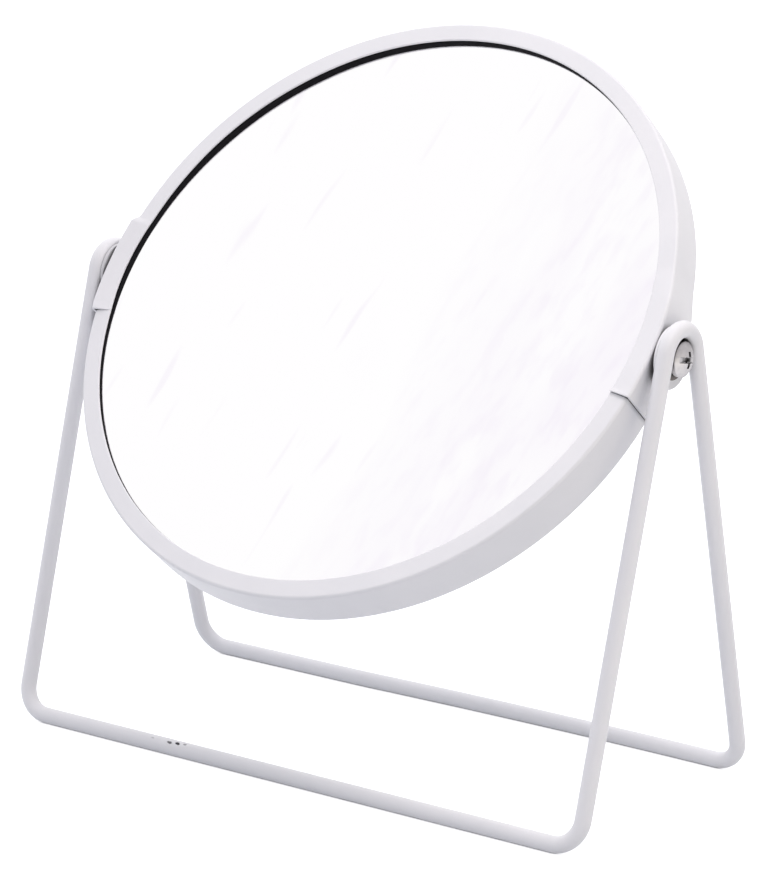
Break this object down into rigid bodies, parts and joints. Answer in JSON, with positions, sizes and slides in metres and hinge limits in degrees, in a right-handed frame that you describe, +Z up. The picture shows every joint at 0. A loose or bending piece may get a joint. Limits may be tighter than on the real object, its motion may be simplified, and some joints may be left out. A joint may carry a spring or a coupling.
{
  "type": "table mirror",
  "caption": "Round double-sided table mirror, flat glass in front and hollow magnifying glass behind, that tilts between the eyes of a bent-wire stand.",
  "frame": {"origin": "on the table under the middle of the pivot axis, centre of the outline seen from above", "axes": "+X along the pivot axis to the right as seen from the front, -Y towards the user, +Z up"},
  "size_m": [0.1846, 0.1172, 0.1865],
  "materials": {
    "powder_coat": "satin white powder coat",
    "flat_mirror_glass": "silvered float glass",
    "curved_mirror_glass": "silvered bent glass",
    "packing_rubber": "black sponge rubber",
    "grey_card": "uncoated grey board",
    "eva_foam": "white closed-cell foam",
    "zinc_steel": "bright zinc plate",
    "vulcanised_fibre": "plain fibre washer"
  },
  "bodies": {
    "stand": {"wire_frame": "powder_coat", "right_pivot_plate": "zinc_steel", "left_pivot_plate": "zinc_steel"},
    "mirror_head": {"upper_rim_half": "powder_coat", "lower_rim_half": "powder_coat", "front_mirror_glass": "flat_mirror_glass", "rear_magnifying_glass": "curved_mirror_glass", "backing_card": "grey_card", "foam_spacer_ring": "eva_foam", "front_packing_ring": "packing_rubber", "rear_packing_ring": "packing_rubber", "right_friction_washer": "vulcanised_fibre", "right_plain_washer": "zinc_steel", "right_spring_washer": "zinc_steel", "right_pivot_screw": "zinc_steel", "right_square_nut": "zinc_steel", "left_friction_washer": "vulcanised_fibre", "left_plain_washer": "zinc_steel", "left_spring_washer": "zinc_steel", "left_pivot_screw": "zinc_steel", "left_square_nut": "zinc_steel"}
  },
  "joints": [
    {"name": "mirror_tilt", "type": "hinge", "parent": "stand", "child": "mirror_head", "pos_m": [0, 0, 0.11725], "axis": [1, 0, 0], "continuous": true}
  ]
}
